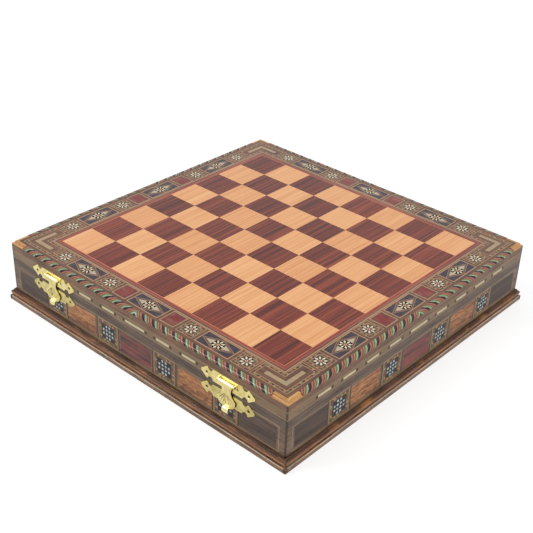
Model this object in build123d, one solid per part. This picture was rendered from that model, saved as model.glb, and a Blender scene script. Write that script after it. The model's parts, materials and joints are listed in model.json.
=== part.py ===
"""Inlaid game box: a hinged lid that is the playing board, over a base divided into cells.

Millimetres, +Z up, origin on the table at the middle of the footprint.
The front (-Y) carries two latches, the back (+Y) two hinges; both protrude less than the plinth.
The plan is square, so each side is drawn once as the front one and turned by quarter turns.
"""
from build123d import *
import os

# ---- driving sizes ----------------------------------------------------------------------
SQUARE = 40.0             # one square of the board
ROWS = 8                  # squares along a side
BORDER = 39.0             # from the field to the side of the box
BASE_HEIGHT = 35.5        # base above the plinth, up to the seam
LID_HEIGHT = 25.3         # seam to playing surface
SEAM_GAP = 0.3            # lid above base when closed
WALL = 12.0               # sides of base and lid
FOOT = 6.0                # plinth under the sides
BOTTOM = 4.0              # bottom panel
BOARD = 8.0               # board under the veneer
LEDGE = 6.0               # how far the bottom panel is let into the sides
RIM = 0.4                 # wood left between the board and the striped band
VENEER = 1.5              # thickness of everything inlaid in the top
INLAY = 1.0               # thickness of everything inlaid in the sides
FELT = 1.0
DIVIDER = 4.0             # thickness of the cell dividers
DIVIDER_DROP = 4.0        # dividers stop this far under the seam
LAP_PLAY = 0.15           # clearance of a half lap, each side
CELLS_ACROSS = 4

# plinth, from the table upwards and from the sides of the box outwards
PLINTH_HEIGHT = 13.2
PLINTH_STEP = 5.6         # lower face
PLINTH_FACE = 5.0         # top of the lower face
PLINTH_TOE = 0.6          # bevel along the table
SHOULDER = 0.8            # bevel over the lower face
GROOVE_IN = 2.4           # groove over the shoulder, in from the lower face
GROOVE_HIGH = 0.8
BEAD_IN = 1.0             # crown of the round bead, in from the lower face
FILLET_OUT = 2.2          # square fillet on top of the bead
FILLET_HIGH = 1.2
QUIRK = 0.4               # ledge between bead and fillet
COVE_WIDE = 1.4           # cove between the fillet and the side
COVE_DEEP = 1.0

# striped band along the top edge
BAND_TOP = 5.6            # its width on the top
BAND_ROUND = 2.6          # rounding of the edge
BAND_FLAT = 0.4           # its flat part on the side, under the rounding
BLOCK = 20.0              # plain block at each corner

# top inlay, measured inwards from the side of the box
LINE_LIGHT = 0.7
LINE_RED = 2.1
LINE_PINK = 1.8
TILE_MARGIN = 3.6         # walnut ground on both sides of the row of tiles
RED_LENGTH = 20.0
STAR_LENGTH = 22.5
TILE_GAP = 2.7
LAST_GAP = 1.45           # between the last tile and the corner tile
CORNER_START = 55.0       # the corner tile's leg, from the corner of the box
CHEVRON_WIDTH = 4.8
CHEVRON_LENGTH = 27.0

# side inlay, measured from the plinth, the seam and the middle of a side
PANEL_FOOT = 2.4          # from the plinth up to the row of panels
PANEL_HEAD = 5.3          # from the row of panels up to the seam
PANEL_TRIM = 2.0          # plain, burl and red panels are lower, above and below, by this
RED_PANEL = 45.0
MOSAIC_PANEL = 29.2
BURL_PANEL = 45.2
RED_GAP = 4.6             # between the red panel and the first mosaic
BURL_GAP = 5.2
OUTER_GAP = 3.0
PLAIN_GAP = 2.2           # around the outer end of the plain panel too
FRAME_END = 9.0           # from the corner of the box to the light line
SIDE_LINE = 0.8
DASH_DROP = 15.3          # middle of the dashes, under the playing surface
DASH_HEIGHT = 2.6
DASH_LENGTH = 18.0
LONG_DASH = 28.0
FIRST_DASH = 40.0
DASH_END = 42.0           # from the corner of the box to the last dash
DASH_COUNT = 4            # short dashes on each side of the long one

# latches, from the seam upwards and from the front outwards
LATCH_X = 127.5
PLATE_THICK = 0.8
PLATE_BODY = 36.6
PLATE_HEIGHT = 13.2
PLATE_TIP = 34.0
TIP_BLUNT = 2.4           # width of the blunt tip
LOBE_X = 26.6             # screw of a lobe
LOBE_HEIGHT = 13.0
NOTCH_X = 22.0
NOTCH_RADIUS = 3.2
PLATE_RISE = 8.4          # middle of a plate above or under the seam
HOLE_X = 12.6             # spare holes of the lid plate
HOLE_RADIUS = 1.3
ROLL_RISE = 10.4          # axis of the hasp
ROLL_RADIUS = 1.6
ROLL_HALF = 9.5
ROLL_CLEAR = 0.15         # between the roll and the plate
EAR = 1.2
HASP_CLEAR = 0.7          # between the plate and the hasp
HASP_THICK = 1.0
HASP_PIN = 0.75
HASP_ROOT = 8.0           # half width under the roll
NECK = 5.6                # half width of the neck, where it crosses the seam
NECK_RISE = 1.6
FAN = 11.0                # half width of the fan
FAN_DROP = 7.5
FAN_END = 7.6             # half width at the fan's lower corners
FAN_END_DROP = 15.6
HASP_DROP = 17.4          # lower end of the hasp
FLUTE = 0.6               # width of a flute
FLUTE_START = 3.5         # flutes run from here down, under the seam
FLUTE_LENGTH = 9.0
FLUTE_ANGLES = (-42, -29, -16, 16, 29, 42)
STUD_DROP = 10.2
STUD_RADIUS = 1.3
STUD_SHOULDER = 0.9       # how far the stud's shoulder stands out round it
STUD_RISE = 0.5           # stud above the back of the hasp
STUD_PLAY = 0.7
KNOB_DROP = 19.0
KNOB_WIDE = 8.0
KNOB_HIGH = 6.4
KNOB_CORNER = 2.2
KNOB_THICK = 2.4
KNOB_EDGE = 0.6
RIVET = 1.3               # radius of the knob's rivet

# hinges, from the seam upwards and from the back outwards
HINGE_X = 120.0
HINGE_LENGTH = 40.0
LEAF_THICK = 1.1
LEAF_HEIGHT = 14.0
KNUCKLE_RADIUS = 2.2
KNUCKLE_CLEAR = 0.4       # between a knuckle and the back
KNUCKLE_PIN = 1.1
KNUCKLE_END = 12.0        # length of an outer knuckle
LEAF_CLEAR = 0.2          # between a leaf and the other leaf's knuckle
HINGE_SCREW_X = 13.0
HINGE_SCREW_RISE = 8.5

PIN_PLAY = 0.05           # radial, where a knuckle turns on its pin
PIN_FIT = 0.02            # radial, where a pin or rivet is held
END_PLAY = 0.3            # between knuckles
SCREW_SUNK = 0.1          # head under the front of its sheet
SCREW_SHANK = 0.9
SCREW_SIDES = 10          # screws, rivets and their holes are drawn with flat sides
SCREW_LENGTH = 8.0
PILOT_PLAY = 0.05
PILOT_DEPTH = 0.5         # pilot hole past the screw

# ---- sizes worked out from them ---------------------------------------------------------
FIELD = SQUARE * ROWS
SIDE = FIELD + 2 * BORDER
HALF = SIDE / 2
INNER = HALF - WALL
SEAM = PLINTH_HEIGHT + BASE_HEIGHT
TOP = SEAM + LID_HEIGHT
BASE_TOP = SEAM - SEAM_GAP / 2
LID_FLOOR = SEAM + SEAM_GAP / 2
VENEER_FLOOR = TOP - VENEER
BOARD_FLOOR = VENEER_FLOOR - BOARD
BOARD_REACH = HALF - BAND_TOP - RIM
FLOOR = FOOT + BOTTOM
CELL_FLOOR = FLOOR + FELT
DIVIDER_TOP = SEAM - DIVIDER_DROP
BAND_SHELF = TOP - BAND_ROUND - BAND_FLAT
GROUND = BORDER - LINE_LIGHT - LINE_RED - LINE_PINK   # inner edge of the walnut ground
ROW_MIDDLE = (BAND_TOP + GROUND) / 2
TILE = GROUND - BAND_TOP - 2 * TILE_MARGIN
CHEVRON_INSET = ROW_MIDDLE - CHEVRON_WIDTH / 2
DIAMOND_LENGTH = (2 * (HALF - CORNER_START - LAST_GAP) - 2 * RED_LENGTH - 4 * STAR_LENGTH
                  - 8 * TILE_GAP) / 3
PANEL_FLOOR = PLINTH_HEIGHT + PANEL_FOOT
PANEL_ROW = BASE_HEIGHT - PANEL_FOOT - PANEL_HEAD
PANEL_LOW = PANEL_ROW - 2 * PANEL_TRIM
PANEL_MIDDLE = PANEL_FLOOR + PANEL_ROW / 2
FRAME_REACH = HALF - FRAME_END
PLAIN_START = (RED_PANEL / 2 + RED_GAP + MOSAIC_PANEL + BURL_GAP + BURL_PANEL + OUTER_GAP
               + MOSAIC_PANEL + PLAIN_GAP)
PLAIN_PANEL = FRAME_REACH - PLAIN_GAP - PLAIN_START
DASH_PITCH = (HALF - DASH_END - DASH_LENGTH / 2 - FIRST_DASH) / (DASH_COUNT - 1)
ROLL_OUT = PLATE_THICK + ROLL_CLEAR + ROLL_RADIUS
HASP_BACK = PLATE_THICK + HASP_CLEAR
HASP_FRONT = HASP_BACK + HASP_THICK
HINGE_OUT = KNUCKLE_RADIUS + KNUCKLE_CLEAR
KNUCKLE_HALF = HINGE_LENGTH / 2 - KNUCKLE_END - END_PLAY
TURNS = {"front": 0, "right": 90, "back": 180, "left": 270}


# ---- helpers ----------------------------------------------------------------------------
def block(x0, x1, y0, y1, z0, z1):
    """A box between two corners."""
    return Pos((x0 + x1) / 2, (y0 + y1) / 2, (z0 + z1) / 2) * Box(x1 - x0, y1 - y0, z1 - z0)


def turned(shape, angle):
    """The front side's shape, turned about the middle of the box."""
    return Rot(0, 0, angle) * shape


def mitred(outline):
    """A strip along the front, cut at 45 degrees at both ends; outline is a face across it."""
    reach = HALF + PLINTH_STEP
    strip = extrude(outline, amount=reach, both=True)
    wedge = Polyline((0, 0), (-reach, -reach), (reach, -reach), close=True)
    return strip & extrude(make_face(wedge), amount=TOP)


def across(*points):
    """A closed outline in the plane across the front side, from (y, z) points."""
    return make_face(Plane.YZ * Polyline(*points, close=True))


def strip(inset0, inset1, z0, z1):
    """A mitred strip of rectangular section, between two insets from the front."""
    return mitred(across((-HALF + inset0, z0), (-HALF + inset1, z0),
                         (-HALF + inset1, z1), (-HALF + inset0, z1)))


def all_round(shape):
    """Four copies of a front piece, one on each side."""
    return [turned(shape, angle) for angle in TURNS.values()]


def along_x(radius, x0, x1, y, z):
    """A round bar along X."""
    return Pos((x0 + x1) / 2, y, z) * Rot(0, 90, 0) * Cylinder(radius, x1 - x0)


def outwards(radius, y0, y1, x=0, z=0):
    """A round bar along -Y between two distances from the face at Y = 0."""
    return Pos(x, -(y0 + y1) / 2, z) * Rot(90, 0, 0) * Cylinder(radius, y1 - y0)


def revolved(*points):
    """A turned piece about the Y axis; points are (radius, distance out from Y = 0)."""
    outline = make_face(Polyline(*[(r, -out) for r, out in points], close=True))
    return revolve(outline, Axis.Y)


def flat_sided(radius, y0, y1, taper=0):
    """A many-sided bar along -Y, for small holes and what fills them; a cone with a taper."""
    outline = Plane.XZ.offset(y0) * RegularPolygon(radius, SCREW_SIDES)
    return extrude(outline, amount=y1 - y0, taper=taper)


# ---- layouts ----------------------------------------------------------------------------
def both_ways(centre):
    """A position and its mirror image, or the middle once."""
    return [0.0] if centre == 0 else [-centre, centre]


def laid_out(run):
    """Centres of pieces laid outwards from the middle; run is (name, length, gap before)."""
    places = []
    edge = None
    for name, length, gap in run:
        centre = 0.0 if edge is None else edge + gap + length / 2
        edge = centre + length / 2
        places += [(name, x, length) for x in both_ways(centre)]
    return places


TOP_ROW = laid_out([("diamond", DIAMOND_LENGTH, 0), ("red", RED_LENGTH, TILE_GAP),
                    ("star", STAR_LENGTH, TILE_GAP), ("diamond", DIAMOND_LENGTH, TILE_GAP),
                    ("star", STAR_LENGTH, TILE_GAP)])
SIDE_ROW = laid_out([("red", RED_PANEL, 0), ("mosaic", MOSAIC_PANEL, RED_GAP),
                     ("burl", BURL_PANEL, BURL_GAP), ("mosaic", MOSAIC_PANEL, OUTER_GAP),
                     ("plain", PLAIN_PANEL, PLAIN_GAP)])
PANEL_HEIGHTS = {"red": PANEL_LOW, "burl": PANEL_LOW, "plain": PANEL_LOW, "mosaic": PANEL_ROW}


def top_tile(x, length):
    """A tile of the front row in the top."""
    return block(x - length / 2, x + length / 2, -HALF + ROW_MIDDLE - TILE / 2,
                 -HALF + ROW_MIDDLE + TILE / 2, VENEER_FLOOR, TOP)


def side_panel(name, x, length):
    """A panel of the front row in the side."""
    height = PANEL_HEIGHTS[name]
    return block(x - length / 2, x + length / 2, -HALF, -HALF + INLAY,
                 PANEL_MIDDLE - height / 2, PANEL_MIDDLE + height / 2)


def side_frame():
    """The light line round the row of panels on the front."""
    low, high = PANEL_FLOOR, PANEL_FLOOR + PANEL_ROW
    outer = block(-FRAME_REACH - SIDE_LINE, FRAME_REACH + SIDE_LINE, -HALF, -HALF + INLAY,
                  low - SIDE_LINE, high + SIDE_LINE)
    return outer - block(-FRAME_REACH, FRAME_REACH, -HALF - 1, -HALF + INLAY + 1, low, high)


def dashes():
    """The pale dashes on the front of the lid, as (centre, length)."""
    short = [FIRST_DASH + i * DASH_PITCH for i in range(DASH_COUNT)]
    return [(0.0, LONG_DASH)] + [(x, DASH_LENGTH) for c in short for x in both_ways(c)]


def dash(x, length):
    """One flat inlaid bar on the front of the lid."""
    middle = TOP - DASH_DROP
    return block(x - length / 2, x + length / 2, -HALF, -HALF + INLAY,
                 middle - DASH_HEIGHT / 2, middle + DASH_HEIGHT / 2)


def corner_leg(width, start, reach):
    """An L round the front left corner: width of its legs, inset of its outside, its reach."""
    outer = block(-HALF + start, -HALF + reach, -HALF + start, -HALF + reach, VENEER_FLOOR, TOP)
    inner = block(-HALF + start + width, HALF, -HALF + start + width, HALF, 0, TOP + 1)
    return outer - inner


# ---- screws -----------------------------------------------------------------------------
def screw(sheet):
    """Countersunk screw through a sheet that lies on Y = 0, its cone as deep as the sheet."""
    head = sheet - SCREW_SUNK
    return flat_sided(SCREW_SHANK, -SCREW_LENGTH, 0) + flat_sided(SCREW_SHANK, 0, head, -45)


def countersink(sheet):
    """The hole in the sheet for that screw."""
    return flat_sided(SCREW_SHANK + PILOT_PLAY, 0, sheet, -45)


def pilot():
    """The hole in the wood behind the sheet."""
    return flat_sided(SCREW_SHANK + PILOT_PLAY, -SCREW_LENGTH - PILOT_DEPTH, 0)


# ---- latches ----------------------------------------------------------------------------
def latch_place(side):
    """From the latch's own frame (seam level, face at Y = 0) to the left or right place."""
    return Pos(side * LATCH_X, -HALF, SEAM)


def latch_plate():
    """Stamped plate: a body, a notch on both edges of each waist, a blunt lobe at each end."""
    lobe = LOBE_HEIGHT / 2
    body = PLATE_HEIGHT / 2
    blunt = TIP_BLUNT / 2
    corners = [(PLATE_TIP, blunt), (LOBE_X, lobe), (PLATE_BODY / 2, body)]
    upper = corners + [(-x, z) for x, z in reversed(corners)]
    lower = [(x, -z) for x, z in reversed(upper)]
    outline = make_face(Polyline(*upper, *lower, close=True))
    for x in both_ways(NOTCH_X):
        for z in both_ways(body):
            outline -= Pos(x, z) * Circle(NOTCH_RADIUS)
    plate = extrude(Plane.XZ * outline, amount=PLATE_THICK)
    for x in both_ways(LOBE_X):
        plate -= Pos(x, 0, 0) * countersink(PLATE_THICK)
    return plate


def latch_lid_plate():
    """The upper plate, with two spare holes and the two ears that hold the hasp's pin."""
    plate = latch_plate()
    for x in both_ways(HOLE_X):
        plate -= Pos(x, 0, 0) * flat_sided(HOLE_RADIUS, 0, PLATE_THICK)
    plate = Pos(0, 0, PLATE_RISE) * plate
    for side in (-1, 1):
        x0, x1 = sorted((side * (ROLL_HALF + END_PLAY), side * (ROLL_HALF + END_PLAY + EAR)))
        plate += along_x(ROLL_RADIUS, x0, x1, -ROLL_OUT, ROLL_RISE)
        plate += block(x0, x1, -ROLL_OUT, 0, ROLL_RISE - ROLL_RADIUS, ROLL_RISE + ROLL_RADIUS)
        plate -= along_x(HASP_PIN + PIN_FIT, x0, x1, -ROLL_OUT, ROLL_RISE)
    return plate


def latch_base_plate():
    """The lower plate, with the hole that its stud is riveted in."""
    plate = Pos(0, 0, -PLATE_RISE) * latch_plate()
    return plate - outwards(STUD_RADIUS + PIN_FIT, -1, PLATE_THICK + 1, 0, -STUD_DROP)


def catch_stud():
    """Stud that the hasp drops over, with the shoulder that the hasp rests near."""
    wide = STUD_RADIUS + STUD_SHOULDER
    step = HASP_BACK - ROLL_CLEAR
    top = HASP_BACK + STUD_RISE
    profile = revolved((0, 0), (STUD_RADIUS, 0), (STUD_RADIUS, PLATE_THICK), (wide, PLATE_THICK),
                       (wide, step), (STUD_RADIUS, step), (STUD_RADIUS, top), (0, top))
    return Pos(0, 0, -STUD_DROP) * profile


def hasp_outline():
    """Root under the roll, narrow neck, fan and the lug of the knob; half, then mirrored."""
    root = (HASP_ROOT, ROLL_RISE)
    neck = (NECK, NECK_RISE)
    wide = (FAN, -FAN_DROP)
    corner = (FAN_END, -FAN_END_DROP)
    end = (0, -HASP_DROP)
    edge = Line((0, root[1]), root)
    edge += ThreePointArc(root, (NECK + 0.4, (ROLL_RISE + NECK_RISE) / 2 - 1), neck)
    edge += ThreePointArc(neck, (NECK + 1.8, (NECK_RISE - FAN_DROP) / 2 - 1), wide)
    edge += ThreePointArc(wide, (FAN - 0.4, -(FAN_DROP + FAN_END_DROP) / 2 - 0.6), corner)
    edge += ThreePointArc(corner, (FAN_END / 2, -HASP_DROP + 0.4), end)
    edge += Line(end, (0, root[1]))
    half = make_face(edge)
    lug = RectangleRounded(KNOB_WIDE - 2 * KNOB_EDGE, KNOB_HIGH - 2 * KNOB_EDGE,
                           KNOB_CORNER - KNOB_EDGE)
    return half + mirror(half, Plane.YZ) + Pos(0, -KNOB_DROP) * lug


def hasp():
    """The swinging hasp: rolled knuckle, fan with radiating flutes, hole for the stud."""
    body = Pos(0, -HASP_BACK, 0) * extrude(Plane.XZ * hasp_outline(), amount=HASP_THICK)
    body += along_x(ROLL_RADIUS, -ROLL_HALF, ROLL_HALF, -ROLL_OUT, ROLL_RISE)
    body -= along_x(HASP_PIN + PIN_PLAY, -ROLL_HALF, ROLL_HALF, -ROLL_OUT, ROLL_RISE)
    body -= outwards(STUD_RADIUS + STUD_PLAY, 0, HASP_FRONT + 1, 0, -STUD_DROP)
    body -= Pos(0, 0, -KNOB_DROP) * flat_sided(RIVET + PIN_FIT, HASP_BACK, HASP_FRONT)
    flute = Pos(0, 0, -FLUTE_START - FLUTE_LENGTH / 2) * Rot(0, 0, 45)
    flute *= Box(FLUTE, FLUTE, FLUTE_LENGTH)
    for angle in FLUTE_ANGLES:
        body -= Pos(0, -HASP_FRONT, 0) * Rot(0, angle, 0) * flute
    return body


def knob():
    """Cushion-shaped pull, riveted through the hasp's lug."""
    cushion = Plane.XZ.offset(HASP_FRONT) * RectangleRounded(KNOB_WIDE, KNOB_HIGH, KNOB_CORNER)
    pull = extrude(cushion, amount=KNOB_THICK)
    pull = chamfer(pull.faces().sort_by(Axis.Y)[0].edges(), KNOB_EDGE)
    pull += flat_sided(RIVET, HASP_BACK, HASP_FRONT)
    return Pos(0, 0, -KNOB_DROP) * pull


def hasp_pin():
    """Pin of the hasp, held in both ears."""
    reach = ROLL_HALF + END_PLAY + EAR
    return along_x(HASP_PIN, -reach, reach, -ROLL_OUT, ROLL_RISE)


# ---- hinges -----------------------------------------------------------------------------
def hinge_place(side):
    """From the hinge's own frame (seam level, face at Y = 0) to its place at the back."""
    return Pos(side * HINGE_X, HALF, SEAM) * Rot(0, 0, 180)


def hinge_leaf(rise, knuckles, others):
    """A leaf above (rise 1) or under (rise -1) the seam, rolled into its own knuckles."""
    z0, z1 = sorted((0, rise * LEAF_HEIGHT))
    leaf = block(-HINGE_LENGTH / 2, HINGE_LENGTH / 2, -LEAF_THICK, 0, z0, z1)
    for x0, x1 in others:
        z0, z1 = sorted((-rise, rise * (KNUCKLE_RADIUS + LEAF_CLEAR)))
        leaf -= block(x0 - END_PLAY, x1 + END_PLAY, -LEAF_THICK, 0, z0, z1)
    for x0, x1 in knuckles:
        leaf += along_x(KNUCKLE_RADIUS, x0, x1, -HINGE_OUT, 0)
    for x in both_ways(HINGE_SCREW_X):
        leaf -= Pos(x, 0, rise * HINGE_SCREW_RISE) * countersink(LEAF_THICK)
    play = PIN_FIT if rise < 0 else PIN_PLAY
    return leaf - along_x(KNUCKLE_PIN + play, -HINGE_LENGTH, HINGE_LENGTH, -HINGE_OUT, 0)


END_KNUCKLES = [(-HINGE_LENGTH / 2, -HINGE_LENGTH / 2 + KNUCKLE_END),
                (HINGE_LENGTH / 2 - KNUCKLE_END, HINGE_LENGTH / 2)]
MIDDLE_KNUCKLE = [(-KNUCKLE_HALF, KNUCKLE_HALF)]


# ---- base -------------------------------------------------------------------------------
def screw_places(rise):
    """Screws above (1) or under (-1) the seam, as (place, sheet thickness), by side."""
    latch = [(latch_place(side) * Pos(x, 0, rise * PLATE_RISE), PLATE_THICK)
             for side in (-1, 1) for x in both_ways(LOBE_X)]
    hinge = [(hinge_place(side) * Pos(x, 0, rise * HINGE_SCREW_RISE), LEAF_THICK)
             for side in (-1, 1) for x in both_ways(HINGE_SCREW_X)]
    return {"front": latch, "back": hinge}


def drilled(piece, name, rise):
    """The piece with pilot holes where screws of the front or back side pass through it."""
    span = piece.bounding_box()
    hole = SCREW_SHANK + PILOT_PLAY
    for place, _ in screw_places(rise).get(name, []):
        at = place.position
        near_x = span.min.X - hole < at.X < span.max.X + hole
        near_z = span.min.Z - hole < at.Z < span.max.Z + hole
        if near_x and near_z:
            piece -= place * pilot()
    return piece


def on_sides(pieces, rise):
    """The front side's pieces on all four sides, drilled for the screws there."""
    return [drilled(turned(piece, angle), name, rise)
            for piece in pieces for name, angle in TURNS.items()]


def base_wall():
    """Side of the base: rebated for the bottom panel, pocketed for its inlay."""
    wall = mitred(across((-HALF, FOOT), (-INNER - LEDGE, FOOT), (-INNER - LEDGE, FLOOR),
                         (-INNER, FLOOR), (-INNER, BASE_TOP), (-HALF, BASE_TOP)))
    for name, x, length in SIDE_ROW:
        wall -= side_panel(name, x, length)
    return wall - side_frame()


def plinth_strip():
    """Foot moulding: a bevelled face, a groove, a round bead and a fillet with a cove behind."""
    shoulder = PLINTH_FACE + SHOULDER
    groove = shoulder + GROOVE_HIGH
    fillet = PLINTH_HEIGHT - FILLET_HIGH
    hollow = PLINTH_STEP - GROOVE_IN
    lower = Polyline((-WALL, FOOT), (-WALL, 0), (PLINTH_STEP - PLINTH_TOE, 0),
                     (PLINTH_STEP, PLINTH_TOE), (PLINTH_STEP, PLINTH_FACE),
                     (PLINTH_STEP - SHOULDER, shoulder), (hollow, shoulder), (hollow, groove))
    bead = ThreePointArc((hollow, groove), (PLINTH_STEP - BEAD_IN, (groove + fillet) / 2),
                         (FILLET_OUT + QUIRK, fillet))
    upper = Polyline((FILLET_OUT + QUIRK, fillet), (FILLET_OUT, fillet),
                     (FILLET_OUT, PLINTH_HEIGHT), (COVE_WIDE, PLINTH_HEIGHT),
                     (0, PLINTH_HEIGHT - COVE_DEEP), (0, FOOT), (-WALL, FOOT))
    outline = mirror(make_face(lower + bead + upper), Plane.YZ)
    return mitred(Plane.YZ * (Pos(-HALF, 0) * outline))


def divider_slot(x, z0, z1):
    """Half-lap slot where two dividers cross."""
    half = DIVIDER / 2 + LAP_PLAY
    return block(x - half, x + half, -half, half, z0, z1)


def dividers():
    """One divider along X, crossed by three along Y, half-lapped at mid height."""
    middle = (CELL_FLOOR + DIVIDER_TOP) / 2
    reach = INNER - LAP_PLAY
    pitch = 2 * INNER / CELLS_ACROSS
    crossings = [-INNER + pitch * (i + 1) for i in range(CELLS_ACROSS - 1)]
    long = block(-reach, reach, -DIVIDER / 2, DIVIDER / 2, CELL_FLOOR, DIVIDER_TOP)
    parts = {}
    for name, x in zip(("left", "middle", "right"), crossings):
        long -= divider_slot(x, middle - LAP_PLAY, DIVIDER_TOP + 1)
        cross = block(x - DIVIDER / 2, x + DIVIDER / 2, -reach, reach, CELL_FLOOR, DIVIDER_TOP)
        cross -= divider_slot(x, CELL_FLOOR - 1, middle + LAP_PLAY)
        parts[name + "_cross_divider"] = [cross]
    parts["long_divider"] = [long]
    return parts


# ---- lid --------------------------------------------------------------------------------
def lid_rail():
    """Side of the lid: rebated inside for the board and outside for the striped band."""
    rail = mitred(across((-HALF, LID_FLOOR), (-INNER, LID_FLOOR), (-INNER, BOARD_FLOOR),
                         (-BOARD_REACH, BOARD_FLOOR), (-BOARD_REACH, VENEER_FLOOR),
                         (-HALF + BAND_TOP, VENEER_FLOOR), (-HALF + BAND_TOP, BAND_SHELF),
                         (-HALF, BAND_SHELF)))
    for x, length in dashes():
        rail -= dash(x, length)
    return rail


def edge_band():
    """Striped band over the rounded top edge, between the corner blocks, and those blocks."""
    inside = -HALF + BAND_TOP
    round_start, round_end = (-HALF + BAND_ROUND, TOP), (-HALF, TOP - BAND_ROUND)
    edge = Polyline((-HALF, BAND_SHELF), (inside, BAND_SHELF), (inside, TOP), round_start)
    edge += RadiusArc(round_start, round_end, BAND_ROUND)
    edge += Line(round_end, (-HALF, BAND_SHELF))
    whole = mitred(make_face(Plane.YZ * edge))
    reach = HALF - BLOCK
    middle = block(-reach, reach, -HALF - 1, inside + 1, BAND_SHELF - 1, TOP + 1)
    left_end = block(-HALF, -reach, -HALF, 0, BAND_SHELF, TOP)
    right_end = block(reach, HALF, -HALF, 0, BAND_SHELF, TOP)
    corner = (whole & left_end) + turned(whole & right_end, -90)
    return whole & middle, corner


def border_veneer():
    """Walnut ground of the border on the front, with windows for its tiles."""
    ground = strip(BAND_TOP, GROUND, VENEER_FLOOR, TOP)
    for _, x, length in TOP_ROW:
        ground -= top_tile(x, length)
    tile = corner_leg(TILE, ROW_MIDDLE - TILE / 2, CORNER_START)
    return ground - tile - turned(tile, 90)


def squares(colour):
    """Squares of one colour; the one at the front left corner is light (0)."""
    found = []
    for i in range(ROWS):
        for j in range(ROWS):
            if (i + j) % 2 == colour:
                x, y = -FIELD / 2 + i * SQUARE, -FIELD / 2 + j * SQUARE
                found.append(block(x, x + SQUARE, y, y + SQUARE, VENEER_FLOOR, TOP))
    return found


# ---- the nodes --------------------------------------------------------------------------
def base_nodes():
    """Everything that stays on the table."""
    nodes = {}
    wall, foot = base_wall(), plinth_strip()
    for name, angle in TURNS.items():
        nodes["base_" + name + "_wall"] = [drilled(turned(wall, angle), name, -1)]
        nodes["plinth_" + name] = [turned(foot, angle)]
    reach = INNER + LEDGE
    nodes["bottom_panel"] = [block(-reach, reach, -reach, reach, FOOT, FLOOR)]
    nodes["floor_lining"] = [block(-INNER, INNER, -INNER, INNER, FLOOR, CELL_FLOOR)]
    nodes.update(dividers())
    for kind in PANEL_HEIGHTS:
        panels = [side_panel(*entry) for entry in SIDE_ROW if entry[0] == kind]
        nodes["side_" + kind + "_panels"] = on_sides(panels, -1)
    nodes["side_light_lines"] = all_round(side_frame())
    return nodes


def lid_nodes():
    """Everything that lifts with the lid, apart from its metalwork."""
    nodes = {}
    rail = lid_rail()
    for name, angle in TURNS.items():
        nodes["lid_" + name + "_rail"] = [drilled(turned(rail, angle), name, 1)]
    nodes["lid_board"] = [block(-BOARD_REACH, BOARD_REACH, -BOARD_REACH, BOARD_REACH,
                                BOARD_FLOOR, VENEER_FLOOR)]
    nodes["lid_lining"] = [block(-INNER, INNER, -INNER, INNER, BOARD_FLOOR - FELT, BOARD_FLOOR)]
    nodes["light_squares"] = squares(0)
    nodes["dark_squares"] = squares(1)
    pink_end = GROUND + LINE_PINK
    red_end = pink_end + LINE_RED
    nodes["field_pink_line"] = all_round(strip(GROUND, pink_end, VENEER_FLOOR, TOP))
    nodes["field_red_line"] = all_round(strip(pink_end, red_end, VENEER_FLOOR, TOP))
    nodes["field_light_line"] = all_round(strip(red_end, BORDER, VENEER_FLOOR, TOP))
    nodes["border_veneer"] = all_round(border_veneer())
    for kind in ("star", "diamond", "red"):
        nodes[kind + "_tiles"] = [turned(top_tile(x, length), angle)
                                  for name, x, length in TOP_ROW if name == kind
                                  for angle in TURNS.values()]
    chevron = corner_leg(CHEVRON_WIDTH, CHEVRON_INSET, CHEVRON_INSET + CHEVRON_LENGTH)
    tile = corner_leg(TILE, ROW_MIDDLE - TILE / 2, CORNER_START) - chevron
    nodes["corner_tiles"] = all_round(tile)
    nodes["corner_chevrons"] = all_round(chevron)
    band, corner = edge_band()
    nodes["edge_banding"] = all_round(band)
    nodes["corner_blocks"] = all_round(corner)
    nodes["side_dashes"] = on_sides([dash(*entry) for entry in dashes()], 1)
    return nodes


def metal_nodes():
    """Latches, hinges and their screws."""
    nodes = {}
    for name, side in (("left", -1), ("right", 1)):
        place = latch_place(side)
        nodes[name + "_latch_lid_plate"] = [place * latch_lid_plate()]
        nodes[name + "_latch_base_plate"] = [place * latch_base_plate()]
        nodes[name + "_hasp"] = [place * hasp()]
        nodes[name + "_knob"] = [place * knob()]
        place = hinge_place(side)
        nodes[name + "_hinge_lid_leaf"] = [place * hinge_leaf(1, MIDDLE_KNUCKLE, END_KNUCKLES)]
        nodes[name + "_hinge_base_leaf"] = [place * hinge_leaf(-1, END_KNUCKLES, MIDDLE_KNUCKLE)]
    half = HINGE_LENGTH / 2
    pin = along_x(KNUCKLE_PIN, -half, half, -HINGE_OUT, 0)
    nodes["catch_studs"] = [latch_place(side) * catch_stud() for side in (-1, 1)]
    nodes["hasp_pins"] = [latch_place(side) * hasp_pin() for side in (-1, 1)]
    nodes["hinge_pins"] = [hinge_place(side) * pin for side in (-1, 1)]
    for body, rise in (("lid", 1), ("base", -1)):
        for kind, side in (("latch", "front"), ("hinge", "back")):
            nodes[kind + "_" + body + "_screws"] = [place * screw(sheet)
                                                    for place, sheet in screw_places(rise)[side]]
    return nodes


def write(nodes):
    """One STEP file for each node."""
    os.makedirs("parts", exist_ok=True)
    for name, pieces in nodes.items():
        solids = [solid for piece in pieces for solid in piece.solids()]
        shape = solids[0] if len(solids) == 1 else Compound(children=solids)
        export_step(shape, os.path.join("parts", name + ".step"))
    print(len(nodes), "nodes, box", SIDE + 2 * PLINTH_STEP, "square,", TOP, "high")


write({**base_nodes(), **lid_nodes(), **metal_nodes()})
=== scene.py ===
"""Inlaid game box with a hinged board lid: the looks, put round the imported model.

Lengths are in millimetres until a mesh is made. The box is square, so each ornament is drawn once
for the front side and carried round by quarter turns.
"""

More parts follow.
